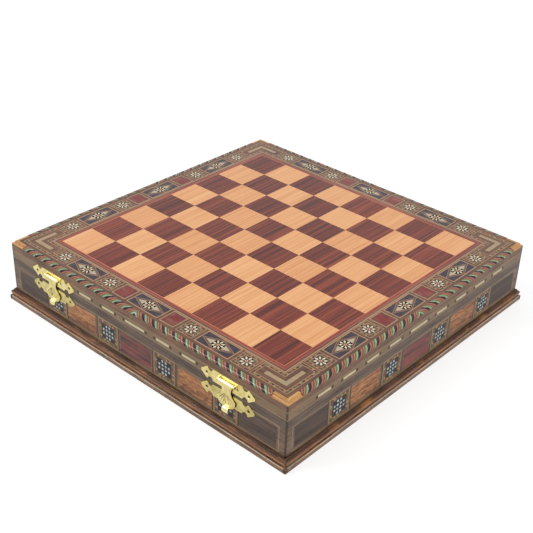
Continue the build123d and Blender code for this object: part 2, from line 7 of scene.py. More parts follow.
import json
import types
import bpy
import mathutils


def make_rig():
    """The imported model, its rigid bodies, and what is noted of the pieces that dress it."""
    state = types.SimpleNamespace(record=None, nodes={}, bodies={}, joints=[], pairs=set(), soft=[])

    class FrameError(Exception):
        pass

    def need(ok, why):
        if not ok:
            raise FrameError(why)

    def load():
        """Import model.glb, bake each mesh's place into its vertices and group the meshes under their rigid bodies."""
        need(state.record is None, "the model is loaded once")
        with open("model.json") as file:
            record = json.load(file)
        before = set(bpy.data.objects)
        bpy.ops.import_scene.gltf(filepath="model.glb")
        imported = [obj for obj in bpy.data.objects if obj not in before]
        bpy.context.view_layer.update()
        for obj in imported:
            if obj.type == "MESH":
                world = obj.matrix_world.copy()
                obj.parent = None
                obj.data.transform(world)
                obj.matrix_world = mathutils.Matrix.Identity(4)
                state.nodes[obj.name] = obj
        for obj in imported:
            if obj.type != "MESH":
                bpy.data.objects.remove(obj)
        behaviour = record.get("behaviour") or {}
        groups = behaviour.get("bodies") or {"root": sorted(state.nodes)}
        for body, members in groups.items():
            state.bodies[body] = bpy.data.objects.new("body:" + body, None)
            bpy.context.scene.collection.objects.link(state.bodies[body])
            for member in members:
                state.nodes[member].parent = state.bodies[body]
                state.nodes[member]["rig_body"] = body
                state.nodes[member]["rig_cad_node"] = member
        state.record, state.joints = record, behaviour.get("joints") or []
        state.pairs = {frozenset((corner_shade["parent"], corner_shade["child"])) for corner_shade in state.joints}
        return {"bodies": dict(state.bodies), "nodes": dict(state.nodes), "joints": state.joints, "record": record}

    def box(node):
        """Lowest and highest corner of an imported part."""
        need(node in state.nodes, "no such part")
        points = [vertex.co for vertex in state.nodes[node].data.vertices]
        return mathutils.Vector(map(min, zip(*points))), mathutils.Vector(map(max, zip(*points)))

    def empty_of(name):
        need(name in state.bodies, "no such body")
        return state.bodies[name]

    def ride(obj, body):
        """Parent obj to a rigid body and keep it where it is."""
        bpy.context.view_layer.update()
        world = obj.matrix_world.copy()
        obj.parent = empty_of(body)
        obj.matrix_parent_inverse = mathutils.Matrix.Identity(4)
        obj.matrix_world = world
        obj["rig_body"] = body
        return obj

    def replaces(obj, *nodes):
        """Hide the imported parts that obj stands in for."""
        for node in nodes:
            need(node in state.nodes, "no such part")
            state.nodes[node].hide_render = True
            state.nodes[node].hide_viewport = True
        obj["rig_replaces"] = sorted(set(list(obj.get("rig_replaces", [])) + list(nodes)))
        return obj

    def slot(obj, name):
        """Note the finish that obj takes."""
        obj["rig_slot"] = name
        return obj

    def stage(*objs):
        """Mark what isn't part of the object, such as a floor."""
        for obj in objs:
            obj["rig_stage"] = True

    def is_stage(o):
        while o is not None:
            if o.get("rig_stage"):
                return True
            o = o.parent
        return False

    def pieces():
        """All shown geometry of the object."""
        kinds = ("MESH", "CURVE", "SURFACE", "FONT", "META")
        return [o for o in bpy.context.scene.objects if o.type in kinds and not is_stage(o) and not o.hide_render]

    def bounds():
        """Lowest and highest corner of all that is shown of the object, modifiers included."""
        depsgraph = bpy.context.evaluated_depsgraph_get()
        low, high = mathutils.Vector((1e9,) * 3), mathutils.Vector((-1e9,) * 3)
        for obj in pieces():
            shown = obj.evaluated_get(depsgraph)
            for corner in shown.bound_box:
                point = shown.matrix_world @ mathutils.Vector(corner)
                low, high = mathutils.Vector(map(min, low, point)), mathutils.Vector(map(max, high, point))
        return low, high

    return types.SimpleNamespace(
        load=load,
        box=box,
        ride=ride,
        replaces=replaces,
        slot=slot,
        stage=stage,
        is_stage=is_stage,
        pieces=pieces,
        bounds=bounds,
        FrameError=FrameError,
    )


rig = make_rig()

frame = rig.load()

import json
import math

import bmesh
import bpy
import numpy as np
from mathutils import Matrix

MM = 0.001
BODY_BOX = [list(corner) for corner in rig.bounds()]


def level(node, end, axis):
    """One coordinate of a CAD node's box in millimetres; end 0 is its lowest corner, 1 its highest."""
    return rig.box(node)[end][axis] / MM


HALF = -level("lid_front_rail", 0, 1)               # middle of the box to a side
TOP = level("light_squares", 1, 2)                  # playing surface
SEAM = (level("lid_front_rail", 0, 2) + level("base_front_wall", 1, 2)) / 2
BAND_SIDE = TOP - level("edge_banding", 0, 2)       # the banding's reach down the side
BAND_TOP = HALF + level("border_veneer", 0, 1)      # and over the top, inwards
BAND_ROUND = 2.6                                    # the radius of its edge
BLOCK = 20.0                                        # a corner block's reach along each side
PANEL_LOW = level("side_mosaic_panels", 0, 2)
PANEL_HIGH = level("side_mosaic_panels", 1, 2)
PANEL_MIDDLE = (PANEL_LOW + PANEL_HIGH) / 2

# rows of ornaments: kind, length, gap before it, from the middle of a side outwards
TILE, TILE_GAP = 21.6, 2.7
STAR_TILE, DIAMOND_TILE, RED_TILE = 22.5, 44.5, 20.0
ROW_MIDDLE = HALF + level("star_tiles", 0, 1) + TILE / 2    # of the tiles, from the side inwards
TOP_ROW = (("diamond", DIAMOND_TILE, 0), ("red", RED_TILE, TILE_GAP), ("star", STAR_TILE, TILE_GAP),
           ("diamond", DIAMOND_TILE, TILE_GAP), ("star", STAR_TILE, TILE_GAP))
MOSAIC = 29.2
SIDE_ROW = (("red", 45.0, 0), ("mosaic", MOSAIC, 4.6), ("burl", 45.2, 5.2),
            ("mosaic", MOSAIC, 3.0), ("plain", 46.7, 2.2))
CORNER_REACH = 55.0                                 # a corner tile's reach along each side
HASP_X = (level("left_hasp", 1, 0) + level("left_hasp", 0, 0)) / -2
FLUTE_FIRST, FLUTE_TURN = 16.0, 13.0                # degrees from straight down, and between flutes
FAN_START, FAN_END = (2.8, 4.2), (12.0, 14.0)       # radii over which the flutes' painted shade begins and ends
FIRST_TURNS, LAST_TURNS = (0.8, 1.0), (3.5, 3.8)    # and angles, in steps of FLUTE_TURN
ROLL_FOOT = 8.6                                     # a hasp's roll begins this far above the seam
DASHES = (0.0, 40.0, 76.0, 112.0, 148.0)            # their middles, from the middle of a side
LONG_DASH, SHORT_DASH, DASH_DROP = 28.0, 18.0, 15.3
LINE_DROPS = (10.5, 19.2)                           # two thin lines above and below the dashes
RAMP_HEIGHT = 80                                    # colours of the walls are stops up to this height
SQUARE = 40                                         # of the board


def places(row, kind):
    """Where the ornaments of one kind stand along the front: their centres, on both halves."""
    found, edge = [], None
    for name, length, gap in row:
        centre = 0.0 if edge is None else edge + gap + length / 2
        edge = centre + length / 2
        if name == kind:
            found += [centre] if centre == 0 else [-centre, centre]
    return found


# ---- outlines: arrays of shape (pieces, corners, 2), anticlockwise ------------------------
def rectangle(x, y, width, height):
    """Four corners about a centre."""
    sign = np.array([(-1, -1), (1, -1), (1, 1), (-1, 1)])
    return np.array([x, y]) + sign * np.array([width, height]) / 2


def inset_rectangle(x, y, width, height, inset):
    """The rectangle drawn in from its edges."""
    return rectangle(x, y, width - 2 * inset, height - 2 * inset)


def inset_leg(inset):
    """The L of a corner tile at the front left, drawn in from its edges."""
    near = ROW_MIDDLE - TILE / 2 + inset
    far = ROW_MIDDLE + TILE / 2 - inset
    end = CORNER_REACH - inset
    corners = [(near, near), (end, near), (end, far), (far, far), (far, end), (near, end)]
    return np.array(corners) - HALF


def rhombus(x, y, half_long, half_high):
    """Four points about a centre, on the axes."""
    return np.array([(x, y - half_high), (x + half_long, y), (x, y + half_high),
                     (x - half_long, y)])


def regular(x, y, radius, corners, turn):
    """A regular polygon: equal steps of angle round a circle."""
    angle = turn + np.arange(corners) * 2 * np.pi / corners
    return np.array([x, y]) + radius * np.stack([np.cos(angle), np.sin(angle)], -1)


def bars(outer, inner):
    """A frame as mitred bars: one four-sided piece between each pair of matching edges."""
    return np.stack([outer, np.roll(outer, -1, 0), np.roll(inner, -1, 0), inner], 1)


def along(outline, pitch, margin):
    """Even steps along each edge of an outline, but for a margin at both its ends.

    Returns the middles of the steps, and their directions.
    """
    middles, ways = [], []
    for start, end in zip(outline, np.roll(outline, -1, 0)):
        run = np.linalg.norm(end - start)
        way = (end - start) / run
        count = max(int(round((run - 2 * margin) / pitch)), 1)
        share = (np.arange(count) + 0.5) / count
        middles.append(start + (margin + share[:, None] * (run - 2 * margin)) * way)
        ways.append(np.repeat([way], count, 0))
    return np.concatenate(middles), np.concatenate(ways)


def teeth(middles, ways, length, width):
    """Triangles set along a line, turn about pointing to its left and to its right."""
    side = np.stack([-ways[:, 1], ways[:, 0]], -1)
    point = 1 - 2 * (np.arange(len(middles)) % 2)[:, None]
    foot = middles - side * point * width / 2
    tip = middles + side * point * width / 2
    ends = foot - ways * length * point, foot + ways * length * point
    return np.stack([ends[0], ends[1], tip], 1)


def edge_strip(near, far):
    """The front quarter of a square ring, between two insets from the side of the box."""
    corners = [(-1, near), (1, near), (1, far), (-1, far)]
    return np.array([(way * (HALF - inset), inset - HALF) for way, inset in corners])


def petals(x, y, near, far, half_width, count=8, turn=0.0):
    """Rhombs round a centre, each from radius near to radius far, widest at the middle."""
    angle = (turn + np.arange(count) * 2 * np.pi / count)[:, None]
    reach = np.array([near, (near + far) / 2, far, (near + far) / 2])
    spread = np.array([0, -half_width, 0, half_width])
    return np.stack([x + reach * np.cos(angle) - spread * np.sin(angle),
                     y + reach * np.sin(angle) + spread * np.cos(angle)], -1)


# ---- solids ------------------------------------------------------------------------------
def turned(points, quarter):
    """Points turned about the upright axis by quarter turns."""
    c, s = ((1, 0), (0, 1), (-1, 0), (0, -1))[quarter % 4]
    return np.stack([c * points[..., 0] - s * points[..., 1],
                     s * points[..., 0] + c * points[..., 1], points[..., 2]], -1)


def prisms(outlines, low, high, face):
    """Straight-sided chips: each outline is carried from height low to height high above a face.

    On the top, an outline's two numbers are X and Y and height is Z. On the front side they are
    X and Z, and height is the distance outwards. Returns points and faces, for all four sides.
    """
    outlines = np.asarray(outlines, float)
    if outlines.ndim == 2:
        outlines = outlines[None]
    count, corners, _ = outlines.shape
    flat = np.broadcast_to(outlines[:, None], (count, 2, corners, 2))
    height = np.broadcast_to(np.array([low, high])[None, :, None], (count, 2, corners))
    if face == "top":
        points = np.stack([flat[..., 0], flat[..., 1], height], -1)
    else:
        points = np.stack([flat[..., 0], -HALF - height, flat[..., 1]], -1)
    points = np.stack([turned(points, quarter) for quarter in range(4)]).reshape(-1, 3)
    ring = np.arange(corners)
    after = np.roll(ring, -1)
    start = (np.arange(4 * count) * 2 * corners)[:, None]
    walls = np.stack([ring, after, after + corners, ring + corners], -1)
    walls = (start[:, :, None] + walls[None]).reshape(-1, 4)
    return points, [start + ring[::-1], start + corners + ring, walls]


def grid_faces(rows, columns):
    """Quads of a grid of points, row by row."""
    index = np.arange(rows * columns).reshape(rows, columns)
    return np.stack([index[:-1, :-1], index[:-1, 1:], index[1:, 1:], index[1:, :-1]],
                    -1).reshape(-1, 4)


class Stock:
    """Solids of one material, gathered until they are made one mesh."""

    def __init__(self):
        self.points, self.faces, self.count = [], [], 0

    def add(self, points, faces):
        self.points.append(points)
        self.faces += [array + self.count for array in faces]
        self.count += len(points)

    def piece(self, name, material, body, slot, nodes, weld=False):
        """The gathered solids as one object that rides on a body."""
        mesh = bpy.data.meshes.new(name)
        faces = [face for array in self.faces for face in array.tolist()]
        mesh.from_pydata((np.concatenate(self.points) * MM).tolist(), [], faces)
        if weld:
            built = bmesh.new()
            built.from_mesh(mesh)
            bmesh.ops.remove_doubles(built, verts=built.verts, dist=1e-7)
            built.to_mesh(mesh)
            built.free()
        mesh.materials.append(material)
        mesh.update()
        made = bpy.data.objects.new(name, mesh)
        bpy.context.scene.collection.objects.link(made)
        if nodes:
            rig.replaces(made, *nodes)
        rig.slot(made, slot)
        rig.ride(made, body)
        return made


class Marquetry:
    """Flat chips of one face of the box, gathered by colour."""
    STEP = 0.015              # each layer lies this much above the one under it
    HALF_FOOT = 0.86          # half the foot of a fringe's triangle, in steps

    def __init__(self, face, surface, depth):
        self.face, self.surface, self.depth, self.stock = face, surface, depth, {}

    def lay(self, colour, outlines, layer):
        """Sets chips of one colour in; layer 0 is the ground and 4 is flush with the face."""
        high = self.surface - (4 - layer) * self.STEP
        solids = prisms(outlines, self.surface - self.depth, high, self.face)
        self.stock.setdefault(colour, Stock()).add(*solids)

    def fringe(self, outline, colours, pitch, width):
        """A band of triangles in turn of several colours along an outline.

        A triangle's foot reaches HALF_FOOT steps both ways, so the rows stop short of the corners.
        """
        margin = width / 2 + (self.HALF_FOOT - 0.5) * pitch
        middles, ways = along(outline, pitch, margin)
        shapes = teeth(middles, ways, pitch * self.HALF_FOOT, width)
        turn = np.arange(len(middles)) % len(colours)
        for index, colour in enumerate(colours):
            if (turn == index).any():
                self.lay(colour, shapes[turn == index], 1)

    def star(self, x, y, radius, layer=2):
        """Dark disc with eight pale petals and a red heart crossed by four pale spots."""
        self.lay("black", regular(x, y, radius, 16, np.pi / 16), layer - 1)
        self.lay("cream", petals(x, y, 0.34 * radius, 1.06 * radius, 0.19 * radius), layer)
        self.lay("red", regular(x, y, 0.36 * radius, 8, np.pi / 8), layer)
        self.lay("cream", petals(x, y, 0.06 * radius, 0.3 * radius, 0.075 * radius, 4),
                 layer + 1)


# ---- materials ---------------------------------------------------------------------------
def display(red, green, blue):
    """A colour as a screen shows it, 0 to 255, turned into the light it stands for."""
    share = np.array([red, green, blue]) / 255
    light = np.where(share <= 0.04045, share / 12.92, ((share + 0.055) / 1.055) ** 2.4)
    return tuple(float(v) for v in light) + (1.0,)


class Value:
    """A socket in a finish; arithmetic on it adds the Math nodes that work it out."""

    def __init__(self, finish, socket):
        self.finish, self.socket = finish, socket

    def maths(self, operation, *values):
        """A Math node on all the values given, in their order."""
        made = self.finish.node("ShaderNodeMath", {"operation": operation}, dict(enumerate(values)))
        return Value(self.finish, made.outputs[0])

    def __add__(self, other):
        return self.maths("ADD", self, other)

    def __sub__(self, other):
        return self.maths("SUBTRACT", self, other)

    def __rsub__(self, other):
        return self.maths("SUBTRACT", other, self)

    def __mul__(self, other):
        return self.maths("MULTIPLY", self, other)

    def __truediv__(self, other):
        return self.maths("DIVIDE", self, other)

    def __gt__(self, other):
        return self.maths("GREATER_THAN", self, other)

    def __abs__(self):
        return self.maths("ABSOLUTE", self)

    def __round__(self):
        return self.maths("ROUND", self)

    def floor(self):
        return self.maths("FLOOR", self)

    def root(self):
        return self.maths("POWER", self, 0.5)

    def step(self, low, high):
        """0 under low, 1 over high, smooth between."""
        made = self.finish.node("ShaderNodeMapRange", {"interpolation_type": "SMOOTHSTEP"},
                                {"Value": self, "From Min": low, "From Max": high})
        return Value(self.finish, made.outputs[0])


class Finish:
    """A material being put together: constants go straight on the shader's sockets."""

    def __init__(self, name, **constants):
        self.material = bpy.data.materials.new(name)
        self.material.use_nodes = True
        self.tree = self.material.node_tree
        self.shader = self.tree.nodes["Principled BSDF"]
        for socket, value in constants.items():
            self.shader.inputs[socket.replace("_", " ")].default_value = value

    def node(self, kind, settings=None, sockets=None):
        """Any node: its settings first, then the values or links of its sockets."""
        made = self.tree.nodes.new(kind)
        for key, value in (settings or {}).items():
            if key == "stops":
                ramp = made.color_ramp
                while len(ramp.elements) < len(value):
                    ramp.elements.new(0.5)
                for stop, (at, colour) in zip(ramp.elements, value):
                    stop.position, stop.color = at, colour
            else:
                setattr(made, key, value)
        for key, value in (sockets or {}).items():
            self.feed(made.inputs[key], value)
        return made

    def feed(self, socket, value):
        """A link where value is a socket of this finish, or else the value itself."""
        if isinstance(value, Value):
            self.tree.links.new(value.socket, socket)
        else:
            socket.default_value = value

    def set(self, socket, value):
        self.feed(self.shader.inputs[socket], value)

    def place(self):
        """The point's own coordinates, in millimetres."""
        spot = self.node("ShaderNodeTexCoord").outputs["Object"]
        parts = self.node("ShaderNodeSeparateXYZ", {}, {0: Value(self, spot)})
        return tuple(Value(self, parts.outputs[axis]) * (1 / MM) for axis in range(3))

    def spot(self, x, y, z):
        made = self.node("ShaderNodeCombineXYZ", {}, {0: x, 1: y, 2: z})
        return Value(self, made.outputs[0])

    def noise(self, spot, scale, detail, rough=0.55, twist=0.0):
        """Cloudy values from 0 to 1; spot is already in the pattern's own lengths."""
        made = self.node("ShaderNodeTexNoise", {}, {"Vector": spot, "Scale": scale,
                         "Detail": detail, "Roughness": rough, "Distortion": twist})
        return Value(self, made.outputs["Fac"])

    def cells(self, spot):
        """Distance to the nearest of the points strewn one to a cell."""
        made = self.node("ShaderNodeTexVoronoi", {}, {"Vector": spot, "Scale": 1.0})
        return Value(self, made.outputs["Distance"])

    def chance(self, spot):
        """A value for each whole place, the same every run."""
        made = self.node("ShaderNodeTexWhiteNoise", {"noise_dimensions": "3D"}, {"Vector": spot})
        return Value(self, made.outputs["Value"])

    def ramp(self, value, *stops):
        made = self.node("ShaderNodeValToRGB", {"stops": stops}, {0: value})
        return Value(self, made.outputs[0])

    def mix(self, share, first, second, kind="MIX"):
        """Colours mixed: share 0 gives the first, 1 the second."""
        made = self.node("ShaderNodeMix", {"data_type": "RGBA", "blend_type": kind},
                         {0: share, 6: first, 7: second})
        return Value(self, made.outputs[2])

    def choose(self, share, first, second):
        """Numbers mixed in the same way."""
        return first + (second - first) * share

    def bump(self, height, depth, strength):
        """Height from 0 to 1 as a relief of a depth in millimetres."""
        made = self.node("ShaderNodeBump", {}, {"Height": height, "Distance": depth * MM,
                                                "Strength": strength})
        self.set("Normal", Value(self, made.outputs[0]))


GLOSS = {"Coat_Weight": 0.85, "Coat_Roughness": 0.04, "Coat_IOR": 1.42, "Specular_IOR_Level": 0.0}
SATIN = {"Coat_Weight": 0.35, "Coat_Roughness": 0.2, "Coat_IOR": 1.4, "Specular_IOR_Level": 0.1}


def grained(finish, grain):
    """Coordinates along, across and through the wood; round grain follows each side of the box."""
    x, y, z = finish.place()
    if grain == "x":
        return x, y, z
    if grain == "y":
        return y, x, z
    front = (abs(y) - abs(x)) > 0
    return finish.choose(front, y, x), finish.choose(front, x, y), z


def timber(name, grain, dark, middle, light, figure=5.0, length=90.0, pores=0.35, coat=SATIN,
           shift=0.0):
    """Sawn wood under lacquer: long streaks, a slow change of tone and short dark pores.

    Streaks are cloudy values stretched along the grain: figure is their width and length how far
    they run. Pores are the same, much finer, cut off so that only the deepest show.
    """
    finish = Finish(name, Roughness=0.5, **coat)
    run, side, up = grained(finish, grain)
    run = run + shift
    wave = finish.noise(finish.spot(run / 70, side / 40, up / 40), 1.0, 2.0) * figure * 2.2
    streak = finish.noise(finish.spot(run / length, (side + wave) / figure,
                                      (up + wave) / figure), 1.0, 5.0, 0.62)
    tone = finish.noise(finish.spot(run / 160, side / 26, up / 26), 1.0, 2.0)
    value = streak * 0.75 + tone * 0.45 - 0.1
    colour = finish.ramp(value, (0.3, dark), (0.5, middle), (0.7, light))
    pore = finish.noise(finish.spot(run / 7, side / 0.45, up / 0.45), 1.0, 2.0)
    deep = pore.step(0.6, 0.72) * pores
    finish.set("Base Color", finish.mix(deep, colour, dark))
    finish.set("Roughness", streak * 0.2 + 0.38)
    finish.bump(1 - deep, 0.04, 0.5)
    return finish.material


def board_square(name, dark, middle, light, figure, contrast):
    """A square of the board: grain along Y, every square cut from another place in the log."""
    finish = Finish(name, Roughness=0.4, **GLOSS)
    x, y, z = finish.place()
    own = finish.chance(finish.spot((x / SQUARE).floor(), (y / SQUARE).floor(), 0.5))
    run, side = y + own * 900, x + own * 700
    sway = finish.noise(finish.spot(run / 60, side / 40, own * 40), 1.0, 2.0) * figure
    streak = finish.noise(finish.spot(run / 300, (side + sway) / figure, own * 90), 1.0, 5.0, 0.66)
    fine = finish.noise(finish.spot(run / 22, side / 0.4, own * 9), 1.0, 2.0)
    value = (streak - 0.5) * contrast + 0.5 + (own - 0.5) * 0.14 + (fine - 0.5) * 0.45
    finish.set("Base Color", finish.ramp(value, (0.2, dark), (0.5, middle), (0.78, light)))
    return finish.material


def banded(name, bands, figure, contrast, pores, mitre, length=55.0, fleck=0.0, gold=0.0):
    """Wood laid in level bands: the tone goes by height, and streaks run along each side.

    Bands are stops of a ramp over the height up to RAMP_HEIGHT; on the plinth they also hold
    painted shade and painted highlights along its moulding. Streaks darken and lighten the
    tone, from 1 - contrast to 1 + contrast; pores is the share of the deepest pores. Flecks are
    rosy and green spots in the band between the lid's two lines, gold is the share of honey
    patches along the grain, and painted shade darkens the wood at its mitres, the corners of the
    box, which meet at the distance mitre from the middle both ways.
    """
    finish = Finish(name, Roughness=0.45, **SATIN)
    run, side, up = grained(finish, "round")
    across = finish.choose(0.5, side, up) * 2
    wave = finish.noise(finish.spot(run / 80, across / 40, 0.0), 1.0, 2.0) * figure * 1.6
    streak = finish.noise(finish.spot(run / length, (across + wave) / figure, 0.0), 1.0, 6.0, 0.66)
    patch = finish.noise(finish.spot(run / 34, across / 9, 7.0), 1.0, 3.0)
    tone = finish.ramp((up + (patch - 0.5) * 1.2) / RAMP_HEIGHT, *bands)
    fine = finish.noise(finish.spot(run / 2.6, across / 0.8, 3.0), 1.0, 3.0)
    value = streak * 0.7 + patch * 0.5 + fine * 0.4 - 0.3
    low, high = 1 - contrast, 1 + contrast
    shade = finish.ramp(value, (0.28, (low, low, low, 1)), (0.5, (1, 1, 1, 1)),
                        (0.72, (high, high, high * 0.94, 1)))
    pore = finish.noise(finish.spot(run / 6, across / 0.4, 0.0), 1.0, 2.0)
    deep = pore.step(0.58, 0.72) * pores
    colour = finish.mix(1.0, tone, shade, "MULTIPLY")
    if fleck:
        drops = finish.noise(finish.spot(run / 2.4, across / 1.5, 11.0), 1.0, 1.0)
        hue = finish.ramp(drops, (0.32, display(96, 104, 66)), (0.46, display(122, 100, 76)),
                          (0.54, display(128, 102, 80)), (0.68, display(150, 88, 80)))
        upper, lower = (TOP - drop for drop in LINE_DROPS)
        inside = up.step(lower, lower + 1) - up.step(upper - 1, upper)
        colour = finish.mix(inside * fleck, colour, hue)
    if gold:
        honey = finish.noise(finish.spot(run / 24, across / 2.6, 19.0), 1.0, 4.0, 0.6)
        colour = finish.mix(honey.step(0.5, 0.7) * gold, colour, display(196, 132, 70))
    # Painted shade: the wood is darkened towards each corner of the box, where the corner would round away from the
    # light.
    corner_shade = (abs(run) + abs(side)).step(2 * mitre - 2.6, 2 * mitre - 0.4)
    colour = finish.mix(corner_shade * 0.75, colour, display(38, 26, 22))
    finish.set("Base Color", finish.mix(deep, colour, display(46, 34, 30)))
    finish.set("Roughness", streak * 0.2 + 0.34)
    finish.bump(1 - deep, 0.04, 0.5)
    return finish.material


def chip(name, colour, coat=GLOSS, vary=0.22, speck=1.3):
    """Small stained inlay: one colour, a little uneven from chip to chip and along its grain."""
    finish = Finish(name, Roughness=0.42, **coat)
    x, y, z = finish.place()
    cloud = finish.noise(finish.spot(x, y, z), 1 / speck, 2.0)
    fine = finish.noise(finish.spot(x, y, z), 3.1, 1.0)
    pale = tuple(min(v * 1.35 + 0.02, 1.0) for v in colour[:3]) + (1.0,)
    deep = tuple(v * 0.55 for v in colour[:3]) + (1.0,)
    value = (cloud - 0.5) * (vary * 4) + (fine - 0.5) * 0.3 + 0.5
    finish.set("Base Color", finish.ramp(value, (0.1, deep), (0.5, colour), (0.9, pale)))
    return finish.material


def pearl(name, tint):
    """Shell: pale, with slow changes between warm, rosy and greenish where it was ground."""
    finish = Finish(name, Roughness=0.3, **GLOSS)
    x, y, z = finish.place()
    slow = finish.noise(finish.spot(x / 6, y / 6, z / 6), 1.0, 3.0, 0.6, 1.2)
    cloud = finish.noise(finish.spot(x / 3, y / 3, z / 3), 1.0, 4.0, 0.6, 2.0)
    hue = finish.ramp(slow, (0.3, display(196, 172, 158)), (0.5, display(212, 199, 180)),
                      (0.62, display(190, 190, 176)), (0.75, display(222, 206, 196)))
    colour = finish.mix(cloud.step(0.45, 0.75) * 0.5, hue, display(236, 228, 214))
    finish.set("Base Color", finish.mix(1.0, colour, tint, "MULTIPLY"))
    finish.set("Roughness", cloud * 0.25 + 0.2)
    return finish.material


def burl(name):
    """Swirling orange burl: strongly twisted clouds, darker in the lower third of the panel."""
    finish = Finish(name, Roughness=0.45, **SATIN)
    run, side, up = grained(finish, "round")
    swirl = finish.noise(finish.spot(run / 18, side / 5, up / 5), 1.0, 6.0, 0.62, 2.2)
    band = finish.noise(finish.spot(run / 50, side / 3, up / 2.4), 1.0, 2.0)
    eye = finish.cells(finish.spot(run / 5, side / 4, up / 4))
    fall = 1 - (up + (swirl - 0.5) * 7).step(PANEL_LOW + 8.0, PANEL_LOW + 12.0)
    value = swirl * 0.9 + band * 0.6 - 0.26 - fall * 0.08
    colour = finish.ramp(value, (0.3, display(92, 58, 44)), (0.45, display(146, 98, 66)),
                         (0.6, display(182, 126, 80)), (0.78, display(204, 152, 104)))
    finish.set("Base Color", finish.mix((1 - eye.step(0.04, 0.2)) * 0.45, colour,
                                        display(84, 52, 40)))
    finish.set("Roughness", swirl * 0.2 + 0.35)
    return finish.material


def red_panel(name):
    """Stained panel: dull purple brown with redder streaks along it."""
    finish = Finish(name, Roughness=0.45, **SATIN)
    run, side, up = grained(finish, "round")
    wave = finish.noise(finish.spot(run / 30, side / 20, up / 20), 1.0, 2.0) * 3
    cloud = finish.noise(finish.spot(run / 60, (side + wave) / 6, (up + wave) / 5.2), 1.0, 5.0, 0.6)
    fine = finish.noise(finish.spot(run / 8, side / 0.6, up / 0.6), 1.0, 2.0)
    finish.set("Base Color", finish.ramp(cloud + (fine - 0.5) * 0.2, (0.34, display(64, 46, 48)),
                                         (0.47, display(92, 62, 60)),
                                         (0.56, display(124, 68, 64)),
                                         (0.7, display(148, 84, 76))))
    return finish.material


def tortoise(name):
    """Red veneer of the small tiles: crimson with brown streaks that cross the box's sides."""
    finish = Finish(name, Roughness=0.35, **GLOSS)
    x, y, z = finish.place()
    cloud = finish.noise(finish.spot(x / 14, y / 5, z / 9), 1.0, 5.0, 0.66, 0.5)
    own = finish.chance(finish.spot((x / 30).floor(), (y / 30).floor(), 2.5))
    finish.set("Base Color", finish.ramp(cloud + (own - 0.5) * 0.24, (0.28, display(96, 22, 18)),
                                         (0.44, display(130, 40, 36)),
                                         (0.56, display(126, 58, 52)),
                                         (0.72, display(150, 84, 72))))
    return finish.material


def brass(name, colour, dull, rough, fluted=False):
    """Polished brass: faint clouds of a duller colour, for tarnish where it has been handled and for painted
    unevenness in its reflections.

    A hasp is fluted. Its flutes leave a point at the seam like a fan: in polar coordinates about
    it they stand every FLUTE_TURN degrees on both sides of straight down, and painted shade lies
    within half a millimetre of each. Its roll, above ROLL_FOOT, is painted paler as a highlight and
    is less glossy.
    """
    finish = Finish(name, Metallic=1.0, Roughness=rough)
    x, y, z = finish.place()
    cloud = finish.noise(finish.spot(x / 7, y / 7, z / 7), 1.0, 3.0)
    # Clouds of the duller colour: tarnish, and painted unevenness of the reflections.
    colour = finish.mix(cloud.step(0.4, 0.7), colour, dull)
    if fluted:
        aside, down = abs(x) - HASP_X, SEAM - z
        reach = (aside * aside + down * down).root()
        turn = abs(aside.maths("ARCTAN2", aside, down)) * (180 / math.pi / FLUTE_TURN)
        past = turn - FLUTE_FIRST / FLUTE_TURN
        gap = abs(past - round(past)) * reach * math.radians(FLUTE_TURN)
        on_fan = (reach.step(*FAN_START) * (1 - reach.step(*FAN_END)) * turn.step(*FIRST_TURNS)
                  * (1 - turn.step(*LAST_TURNS)))
        # Painted shade darkens the brass along each flute of the fan.
        colour = finish.mix((1 - gap.step(0.12, 0.42)) * on_fan * 0.85, colour,
                            display(112, 88, 40))
        # Painted highlight: the roll is coloured pale, nearly white.
        roll = (z - SEAM).step(ROLL_FOOT, ROLL_FOOT + 0.6)
        colour = finish.mix(roll, colour, display(250, 242, 206))
        finish.set("Roughness", cloud * 0.1 + roll * 0.22 + (rough - 0.06))
    else:
        brush = finish.noise(finish.spot(x / 5, y / 5, z / 0.3), 1.0, 2.0)
        finish.set("Roughness", cloud * 0.14 + brush * 0.06 + (rough - 0.1))
    finish.set("Base Color", colour)
    return finish.material


def velvet(name, colour):
    """Flock lining: soft clouds where the nap was stroked, with a sheen at low angles."""
    finish = Finish(name, Roughness=0.9, Sheen_Weight=0.6, Sheen_Roughness=0.4,
                    Specular_IOR_Level=0.15)
    x, y, z = finish.place()
    nap = finish.noise(finish.spot(x / 28, y / 28, z / 28), 1.0, 3.0)
    pile = finish.noise(finish.spot(x, y, z), 2.6, 2.0)
    deep = tuple(v * 0.5 for v in colour[:3]) + (1.0,)
    finish.set("Base Color", finish.mix(nap.step(0.3, 0.7) * 0.6 + pile * 0.3, deep, colour))
    finish.bump(pile, 0.25, 0.6)
    return finish.material


WALNUT = (display(66, 48, 42), display(112, 88, 75), display(146, 116, 94))
PLINTH_MITRE = -level("plinth_front", 0, 1) - 1
SIDE_BANDS = tuple((height / RAMP_HEIGHT, display(*colour)) for height, colour in (
    (14, (116, 94, 76)), (43.6, (108, 87, 72)), (44.6, (92, 77, 68)), (53.8, (98, 81, 70)),
    (54.8, (126, 105, 80)), (63.2, (130, 108, 84)), (64.2, (114, 84, 66)), (70, (118, 88, 69)),
    (71.5, (66, 46, 40))))
